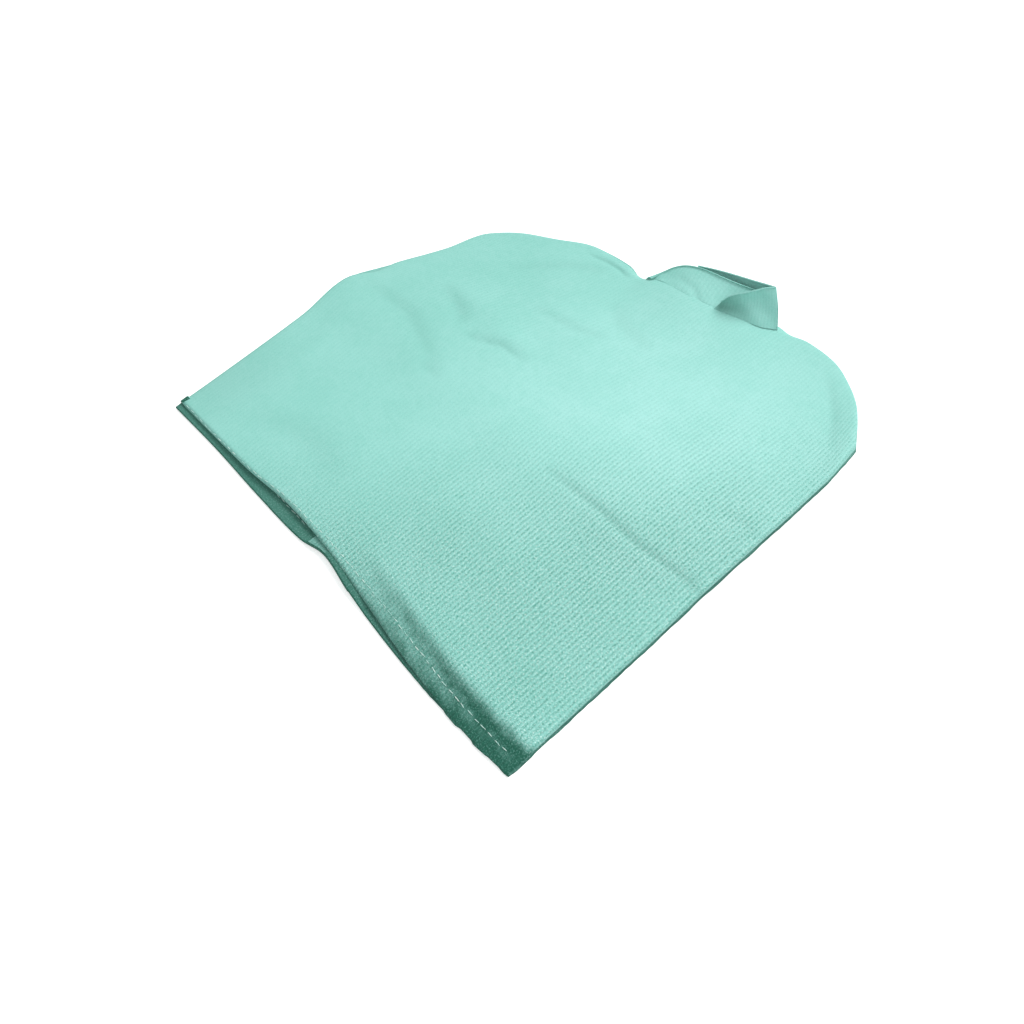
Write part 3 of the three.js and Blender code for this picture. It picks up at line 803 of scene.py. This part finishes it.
class GOWN_OT_front(bpy.types.Operator):
    """Makes the front cloth and its turned hem"""

    bl_idname = "gown.front"
    bl_label = "Front"

    def execute(self, context):
        gown = Gown(context.scene)
        s = gown.shape
        us = edge_columns(s.width)
        away = front_rows(s)
        points, uv = front_surface(gown, us, away)
        shade = front_shade(gown, points, us)
        # The hem's fold and the turned hem get painted shade.
        full, full_uv, shade = folded(points, uv, shade, -1, shade[:1])
        front = cloth("front_cloth", full, full_uv, shade, gown)
        inner = away <= s.turn
        turn = cloth("front_hem_turn", next_layer(points, -1)[inner], uv[inner], 0.75, gown)
        finish(turn, gown.material("turned_cotton"), "front_hem")
        stitches = stitch_row(gown, "front_hem_stitches", points, away, 0.5)
        finish(stitches, gown.material("sewing_thread"), "front_hem_thread")
        finish(front, gown.material("gown_cotton"), "front_panel")
        return {"FINISHED"}


# ---------------------------------------------------------------- stitches
STITCH_INSET = 3.2  # from the turned hem's edge to its stitches


def stitch_row(gown, name, points, away, raise_by):
    """Stitches along a hem, each a short arched length of thread."""
    size = gown.sizes
    row = int(np.argmin(abs(away - (gown.shape.turn - STITCH_INSET))))
    n = normals(points)[row]
    line = points[row] + n * (size.cloth / MM / 2 + raise_by * 0.35)
    length = np.concatenate([[0], np.cumsum(np.linalg.norm(np.diff(line, axis=0), axis=1))])
    deselect()
    bpy.ops.mesh.primitive_uv_sphere_add(segments=6, ring_count=5, radius=0.5)
    first = bpy.context.object
    bpy.ops.object.mode_set(mode="EDIT")
    bpy.ops.mesh.select_all(action="SELECT")
    bpy.ops.transform.rotate(value=PI / 2, orient_axis="Y", center_override=(0, 0, 0))
    bpy.ops.transform.resize(value=(size.stitch_length, 0.00085, 0.0007))
    bpy.ops.object.mode_set(mode="OBJECT")
    shape = np.array([v.co for v in first.data.vertices]) / MM
    faces = [tuple(p.vertices) for p in first.data.polygons]
    bpy.data.objects.remove(first)
    pitch = size.stitch_pitch / MM
    centres = np.arange(pitch * 1.6, length[-1] - pitch * 1.2, pitch)
    spots, polygons = [], []
    half = size.stitch_length / MM / 2
    for k, centre in enumerate(centres):
        wander = 0.35 * math.sin(k * 2.4) + 0.25 * math.sin(k * 0.7 + 1)
        along = centre + 0.8 * math.sin(k * 1.9) + shape[:, 0] * (1 + 0.12 * math.sin(k * 3.1))
        spot = np.stack([np.interp(along, length, line[:, i]) for i in range(3)], axis=-1)
        up = np.stack([np.interp(along, length, n[:, i]) for i in range(3)], axis=-1)
        ahead = np.interp(centre + 1, length, line[:, 0]) - np.interp(centre - 1, length, line[:, 0])
        step = np.interp(centre + 1, length, line[:, 1]) - np.interp(centre - 1, length, line[:, 1])
        tangent = np.array([ahead, step, 0]) / math.hypot(ahead, step)
        across = np.cross(up, tangent)
        arch = 0.25 * (1 - (shape[:, 0] / half) ** 2)
        skew = 0.12 * math.sin(k * 1.3) * shape[:, 0]
        spot = spot + across * (shape[:, 1] + wander + skew)[:, None]
        spots.append(spot + up * (shape[:, 2] + arch)[:, None])
        polygons.extend(tuple(k * len(shape) + i for i in f) for f in faces)
    obj = mesh_object(name, np.concatenate(spots), polygons, gown.shift)
    make_active(obj)
    bpy.ops.object.mode_set(mode="EDIT")
    bpy.ops.mesh.select_all(action="SELECT")
    bpy.ops.mesh.normals_make_consistent(inside=False)
    bpy.ops.object.mode_set(mode="OBJECT")
    bpy.ops.object.shade_smooth()
    return obj


# ---------------------------------------------------------------- back of the body
def back_share(s, x):
    return (x - s.left) / s.width


def lap(s, u):
    """Rise of the right back panel over the left one."""
    end = back_share(s, s.middle + s.overlap / 2)
    return 2 * LAYER * (1 - smooth(u, end + 0.006, end + 0.06))


def back_surface(gown, us, away, over):
    """Middle of a back panel. over is 1 for the panel that laps over the other."""
    s = gown.shape
    u, w = np.meshgrid(us, away)
    v = np.clip(w / s.reach(u, s.back_hem, s.back_top), 0, 1)
    v = lerp(v, 1.0, ramp(w, away[-1] * 0.5, away[-1]))
    x, y = s.place(u, v, s.back_hem, s.back_top)
    z = 0.55 + lift(y) + over * lap(s, u) + shoulder(s, u, v)
    # The hem stands a little off the floor at its middle and near the right corner.
    rise = 3.2 * hill(x - 12, 46) + 0.9 * np.sin(x / 17) ** 2 * smooth(x, 120, 300)
    z = z + rise * hill(w, 26)
    z = z + 0.25 * (1 + np.sin(x / 23 + y / 31)) * smooth(w, 0, 40)
    # Its edges are a little uneven.
    y = y - 0.9 * np.sin(x / 7.3 + np.sin(x / 3.1)) * smooth(x, 150, 260) * hill(w, 10)
    y = y + 1.4 * smooth(v, 0.95, 1) * hill(x + 118, 50)
    x = x + 0.4 * np.sin(y / 9.0 + np.sin(y / 4.1)) * hill((1 - u) * s.width, 12) * (u > 0.5)
    return np.stack([x, y, z], axis=-1), np.stack([x, y], axis=-1)


def back_rows(s):
    """Distances of the back's rows from its hem."""
    reach = s.tall + 10
    return np.concatenate([np.arange(0, 46, 2.6) + FOLD, np.linspace(48, reach - 12, 78),
                           reach - np.array([9, 6, 3.5, 1.6, 0])])


class GOWN_OT_back(bpy.types.Operator):
    """Makes the two back panels, their hems, and the turned edges of the back opening"""

    bl_idname = "gown.back"
    bl_label = "Back"

    def execute(self, context):
        gown = Gown(context.scene)
        s = gown.shape
        left_end = back_share(s, s.middle + s.overlap / 2)
        right_start = back_share(s, s.middle - s.overlap / 2)
        turned = s.edge_turn / s.width
        away = back_rows(s)
        for side, start, end, over in (("left", 0.0, left_end, 0), ("right", right_start, 1.0, 1)):
            count = int((end - start) * s.width / 5.2)
            us = np.linspace(start, end, count)
            points, uv = back_surface(gown, us, away, over)
            # Painted shade over the back's hem and its dark fold, and a painted shadow along the right
            # panel's right edge, under the front's side edge.
            hem_zone = 1 - smooth(points[..., 1] - s.back_hem(points[..., 0]), 18, 30)
            rim_shadow = hill((1 - us) * s.width, 4) * np.ones(points.shape[:2])
            shade = np.maximum(0.26 * hem_zone + 0.04, 0.85 * rim_shadow)
            full, full_uv, shade = folded(points, uv, shade, 1, 0.9)
            panel = cloth(f"back_{side}_cloth", full, full_uv, shade, gown)
            over_it = next_layer(points, 1)
            inner = away <= s.turn
            columns = us <= end - turned if side == "left" else us >= start + turned
            hem_points = over_it[inner][:, columns]
            # The turned hem and the facing get painted shade too.
            hem = cloth(f"back_{side}_hem_turn", hem_points, uv[inner][:, columns], 0.55, gown)
            finish(hem, gown.material("turned_cotton"), f"back_hem_{side}")
            stitches = stitch_row(gown, f"back_{side}_hem_stitches", hem_points, away[inner], 0.4)
            finish(stitches, gown.material("sewing_thread"), f"back_hem_thread_{side}")
            strip = us >= end - turned if side == "left" else us <= start + turned
            rows = away > s.turn + 1.5
            facing = cloth(
                f"back_{side}_facing", over_it[rows][:, strip], uv[rows][:, strip], 0.4, gown)
            finish(facing, gown.material("turned_cotton"), f"back_edge_{side}")
            finish(panel, gown.material("gown_inside"), f"back_panel_{side}")
        return {"FINISHED"}


# ---------------------------------------------------------------- seams
SEAM_INSET = 0.008  # share of the width between the outline and a seam allowance
OVERLOCK = 0.0006  # thickness of an overlocked edge, in metres


def seam_allowance(gown, name, us, vs, upright, lapped=False):
    """An overlocked strip. upright strips run up the body, the others across it."""
    s = gown.shape
    u, v = np.meshgrid(us, vs)
    x, y = tuck_in(s, *s.place(u, v, s.back_hem, s.back_top), u, v)
    z = 1.5 + lift(y) + shoulder(s, u, v) + (lap(s, u) if lapped else 0)
    uv = np.stack([y, x] if upright else [x, y], axis=-1)
    # The strip gets painted shade.
    strip = cloth(f"{name}_overlock", np.stack([x, y, z], axis=-1), uv, 0.5, gown, thickness=OVERLOCK)
    finish(strip, gown.material("overlocked_edge"), name)


class GOWN_OT_seams(bpy.types.Operator):
    """Makes the overlocked seam allowances inside the side, armhole and shoulder seams"""

    bl_idname = "gown.seams"
    bl_label = "Seams"

    def execute(self, context):
        gown = Gown(context.scene)
        s = gown.shape
        seam = s.seam / s.width
        arm = s.arm / s.length
        top = s.seam / s.tall + SEAM_INSET
        spans = (
            ("side_seam", np.linspace(s.turn / s.tall + 0.004, arm - 0.004, 40)),
            ("armhole_seam", np.linspace(arm, 1 - top - SEAM_INSET, 32)))
        for side, neck in (("left", s.neck_left), ("right", s.neck_right)):
            us = np.linspace(SEAM_INSET, seam + SEAM_INSET, 5)
            us = us if side == "left" else 1 - us[::-1]
            for name, vs in spans:
                seam_allowance(gown, f"{name}_{side}", us, vs, True)
            share = (neck - s.left_top) / (s.right_top - s.left_top)
            start, end = (0.035, share - 0.005) if side == "left" else (share + 0.005, 0.965)
            seam_allowance(gown, f"shoulder_seam_{side}", np.linspace(start, end, 40),
                           np.linspace(1 - top, 1 - SEAM_INSET, 5), False, side == "right")
        return {"FINISHED"}


# ---------------------------------------------------------------- sleeves
AROUND = 56  # points around a sleeve


def sleeve_points(gown, side, start, end, count):
    """Middle of a flattened tube under the body, from the armhole inwards."""
    s = gown.shape
    direction, edge = (1, s.left_edge) if side == "left" else (-1, s.right_edge)
    depth = (s.length - s.arm) * 5 / 6
    low = s.arm + 8
    height, inset = 2.1, 0.45
    around = np.linspace(0, 2 * PI, AROUND, endpoint=False)
    # A flat oval: nearly all of it lies on the two long sides.
    across = 0.5 - 0.5 * np.sign(np.cos(around)) * abs(np.cos(around)) ** 0.7
    up = np.sin(around) * (0.35 + 0.65 * ramp(abs(np.sin(around)), 0, 0.5))
    w, a = np.meshgrid(np.linspace(start, end, count), np.arange(AROUND), indexing="ij")
    share = across[a]
    y0 = low - 12 * w / s.sleeve
    y = y0 + share * depth
    x = edge(low + share * depth) + direction * (5 + w)
    sag = 0.2 * np.sin(w / 21 + share * 5)
    z = inset + height / 2 + (height / 2 - 0.15) * up[a] + sag * (up[a] > 0) * 0.6
    points = np.stack([x, y, z], axis=-1)
    length = np.cumsum(np.full(AROUND, 2 * depth / AROUND))
    uv = np.stack([length[a], w], axis=-1)
    return points if direction > 0 else points[:, ::-1], uv if direction > 0 else uv[:, ::-1]


class GOWN_OT_sleeves(bpy.types.Operator):
    """Makes the two sleeves, folded flat under the body, and their turned hems"""

    bl_idname = "gown.sleeves"
    bl_label = "Sleeves"

    def execute(self, context):
        gown = Gown(context.scene)
        s = gown.shape
        cut = s.sleeve - s.turn
        for side in ("left", "right"):
            points, uv = sleeve_points(gown, side, 0, cut - 0.3, 42)
            # The sleeves and their turned hems get painted shade.
            tube = cloth(f"sleeve_{side}_cloth", points, uv, 0.2, gown, wrap=True)
            hem_points, hem_uv = sleeve_points(gown, side, cut, s.sleeve, 7)
            hem = cloth(f"sleeve_{side}_hem_turn", hem_points, hem_uv, 0.5, gown, wrap=True)
            finish(hem, gown.material("turned_cotton"), f"sleeve_hem_{side}")
            finish(tube, gown.material("gown_inside"), f"sleeve_{side}")
        return {"FINISHED"}


# ---------------------------------------------------------------- neck band
# Control grids above the panel's edge, bottom row first, in millimetres from the middle
# of the hem. A front band's first two rows lie on the front panel, at the same shares of
# the neckline.
# Line along which a soft fold is painted as shade across the front right flap.
FLAP_FOLD = [(31, 581), (47, 589), (62, 592)]
FRONT_LEFT_SHARES = (0.0, 0.1, 0.21, 0.36, 0.5, 0.62, 0.72)
FRONT_LEFT_BAND = [
    [(-71, 558, 20.5), (-60, 571, 25.5), (-42, 583, 30.5), (-19, 590, 32), (7, 594.5, 32),
     (32, 601, 31), (50, 607, 31)],
    [(-67, 558, 21.5), (-58, 577, 29), (-43, 593, 35), (-22, 603, 37), (6, 609, 38),
     (32, 616, 38), (50, 622, 38)],
]
FRONT_RIGHT_BAND = [
    [(26, 574, 22.6), (46, 582.5, 21.6), (66, 588.5, 21), (85, 594.5, 20.6), (100.5, 606, 20)],
    [(28, 579, 27), (43, 590, 33), (59, 600, 37), (74, 608, 39), (89, 616, 39)],
    [(30, 583, 31), (39, 590, 43), (55, 602, 53), (66, 614.5, 57.5), (75.5, 624, 59.5)],
]
BACK_RIGHT_BAND = [
    [(-29, 597, 9), (2, 603, 9), (38, 612, 9.4), (68, 617, 10.5), (89, 615, 13), (101, 606.8, 19)],
    [(-33, 604, 19), (-3, 613, 20), (28, 621, 23.5), (57, 625.5, 29), (79, 622.5, 37), (89.3, 616.9, 39)],
    [(-36, 610, 30), (-11, 619.5, 33), (12, 624, 38), (39, 628, 44), (60, 628, 51.5), (75.5, 625, 59)],
]
BACK_LEFT_BAND = [
    [(-70, 571, 5.6), (-47, 587, 5.6), (2, 602, 5.6), (32, 611, 5.6), (52, 616, 5.6)],
    [(-66, 574, 9), (-46, 589, 13), (0, 607, 15), (29, 616, 16), (49, 620, 17)],
    [(-62, 575, 12), (-46, 590, 20), (-8, 608, 24), (24, 619, 25), (44, 623, 26)],
]


def on_front(gown, shares):
    """Two rows of points on the front panel at shares of the neckline: lapped and edge."""
    s = gown.shape
    x = lerp(s.neck_left, s.neck_right, np.array(shares))
    us = (x - s.left_top) / (s.right_top - s.left_top)
    points, _ = front_surface(gown, us, front_rows(s))
    low, edge = points[TOP_LAP_ROW], points[-1]
    return [(low + (0, 0, 0.4)).tolist(), (edge + (0, 0, 0.9)).tolist()]


BAND_ROWS = 24


def band_points(control, columns, ripple, phase):
    """A smooth band with soft folds across it."""
    points = patch(np.array(control, float), BAND_ROWS, columns)
    v, u = np.meshgrid(np.linspace(0, 1, BAND_ROWS), np.linspace(0, 1, columns), indexing="ij")
    folds = ripple * np.sin(PI * v) ** 0.7 * np.sin(9 * u + 4 * v + phase) * np.sin(PI * u) ** 0.5
    return points + normals(points) * folds[..., None]


class GOWN_OT_neck_band(bpy.types.Operator):
    """Makes the four lengths of the neck band, standing up and leaning back"""

    bl_idname = "gown.neck_band"
    bl_label = "Neck band"

    def execute(self, context):
        gown = Gown(context.scene)
        front_left = on_front(gown, FRONT_LEFT_SHARES) + FRONT_LEFT_BAND
        bands = (
            ("front_left", front_left, 0.5, 0.4, (0.0, 0.0), "front_cloth", (150, 50)),
            ("front_right", FRONT_RIGHT_BAND, 1.5, 2.2, (0.05, 0.0), "front_cloth", (96, 52)),
            ("back_left", BACK_LEFT_BAND, 0.5, 1.0, (0.1, 0.1), "back_left_cloth", (150, 48)),
            ("back_right", BACK_RIGHT_BAND, 0.6, 0.0, (0.05, 0.0), "back_right_cloth", (160, 52)),
        )
        for name, control, ripple, phase, (low, high), rests, flat in bands:
            columns = max(int(flat[0] / 2.2), 30)
            points = band_points(control, columns, ripple, phase)
            x, y = points[..., 0].copy(), points[..., 1].copy()
            if name == "front_left":
                # It follows the front's creases where it lies on them.
                points[..., 2] += (creases(x, y) - waves(x, y)) * 0.9
            # The top edge is folded over, as the band is two layers.
            fold = pressed_fold(points[::-1], -1)
            full = np.concatenate([points, fold[::-1]])
            run = np.linspace(0, 1, columns) * flat[0]
            rise = np.linspace(0, flat[1], BAND_ROWS)
            rise = np.concatenate([rise, flat[1] + np.linspace(0.4, PI * FOLD, FOLD_ROWS)])
            uv = np.stack(np.meshgrid(run + 7, rise + 3), axis=-1)
            v = np.linspace(0, 1, BAND_ROWS).reshape(-1, 1)
            # Painted shade, from low at the band's foot to high at its top, and more on the folded top
            # edge.
            shade = lerp(low, high, v) * np.ones((BAND_ROWS, columns))
            if name == "front_right":
                # Painted shade: a soft fold slants across the flap from its tip.
                away, along = to_line(x, y, FLAP_FOLD)
                shade = shade + 0.6 * hill(away, 6) * (1 - 0.7 * along)
            shade = np.concatenate([shade, np.full(fold.shape[:2], high + 0.1)])
            band = cloth(f"neck_band_{name}_cloth", full, uv, shade, gown)
            finish(band, gown.material("gown_cotton"), f"neck_band_{name}")
        return {"FINISHED"}


# ---------------------------------------------------------------- stage
def aim(obj, place, axis_right, axis_up, axis_back):
    turn = Matrix((axis_right, axis_up, axis_back)).transposed()
    obj.matrix_world = Matrix.Translation(place) @ turn.to_4x4()


class GOWN_OT_stage(bpy.types.Operator):
    """Makes the floor, the lights and the camera"""

    bl_idname = "gown.stage"
    bl_label = "Stage"

    def execute(self, context):
        scene = context.scene
        gown = Gown(scene)
        size = gown.sizes
        deselect()
        bpy.ops.mesh.primitive_plane_add(size=14, location=(0, 0, -0.0006))
        floor = context.object
        floor.name = "floor"
        material, t, shader = new_material("pale_floor")
        # The floor is lit from within a little, as a light table is.
        seen = t.add("ShaderNodeLightPath").outputs["Is Camera Ray"]
        t.fill(shader, {
            "Base Color": (*gown.colours.floor, 1), "Roughness": 0.95, "Specular IOR Level": 0.1,
            "Emission Color": (1, 1, 1, 1), "Emission Strength": t.math("MULTIPLY", seen, 0.42)})
        floor.data.materials.append(material)

        world = bpy.data.worlds.new("studio")
        world.use_nodes = True
        background = world.node_tree.nodes["Background"]
        background.inputs["Color"].default_value = (0.97, 1.0, 1.0, 1)
        background.inputs["Strength"].default_value = 0.62
        scene.world = world

        # A key from beyond the neck, and a weak wide fill from the camera's side.
        for name, energy, spread, toward in (
                ("key", 2.05, 26, (0.25, 0.62, 0.78)), ("fill", 0.50, 90, (0.55, -0.60, 0.60))):
            sun = bpy.data.lights.new(name, "SUN")
            sun.energy = energy
            sun.angle = math.radians(spread)
            lamp = bpy.data.objects.new(name, sun)
            scene.collection.objects.link(lamp)
            lamp.rotation_mode = "QUATERNION"
            lamp.rotation_quaternion = Vector(toward).normalized().to_track_quat("Z", "Y")

        az, el, roll = size.view_azimuth, size.view_elevation, size.view_roll
        forward = Vector((-math.sin(az) * math.cos(el), math.cos(az) * math.cos(el), -math.sin(el)))
        side = forward.cross(Vector((0, 0, 1))).normalized()
        up = side.cross(forward)
        right = side * math.cos(roll) + up * math.sin(roll)
        above = up * math.cos(roll) - side * math.sin(roll)
        lens = bpy.data.cameras.new("camera")
        lens.lens = size.lens
        lens.sensor_width = 36
        lens.clip_start = 0.01
        camera = bpy.data.objects.new("camera", lens)
        scene.collection.objects.link(camera)
        aim(camera, Vector(size.view_target) - forward * size.view_distance, right, above, -forward)
        scene.camera = camera
        scene.view_settings.view_transform = "Standard"
        return {"FINISHED"}


# ---------------------------------------------------------------- panel and registration
OPERATORS = (GOWN_OT_front, GOWN_OT_back, GOWN_OT_seams, GOWN_OT_sleeves, GOWN_OT_neck_band, GOWN_OT_stage)


class GOWN_PT_sidebar(bpy.types.Panel):
    """Lists the gown's pieces and sizes"""

    bl_label = "Patient Gown"
    bl_idname = "GOWN_PT_sidebar"
    bl_space_type = "VIEW_3D"
    bl_region_type = "UI"
    bl_category = "Gown"

    def draw(self, context):
        layout = self.layout
        for group in (context.scene.gown_sizes, context.scene.gown_colours):
            for name in group.__annotations__:
                layout.prop(group, name)
        for operator in OPERATORS:
            layout.operator(operator.bl_idname)


CLASSES = (GownSizes, GownColours, *OPERATORS, GOWN_PT_sidebar)


def register():
    for item in CLASSES:
        bpy.utils.register_class(item)
    bpy.types.Scene.gown_sizes = PointerProperty(type=GownSizes)
    bpy.types.Scene.gown_colours = PointerProperty(type=GownColours)


def unregister():
    del bpy.types.Scene.gown_sizes
    del bpy.types.Scene.gown_colours
    for item in reversed(CLASSES):
        bpy.utils.unregister_class(item)


def main():
    register()
    bpy.ops.gown.sleeves()
    bpy.ops.gown.back()
    bpy.ops.gown.seams()
    bpy.ops.gown.front()
    bpy.ops.gown.neck_band()
    bpy.ops.gown.stage()


if __name__ == "__main__":
    main()
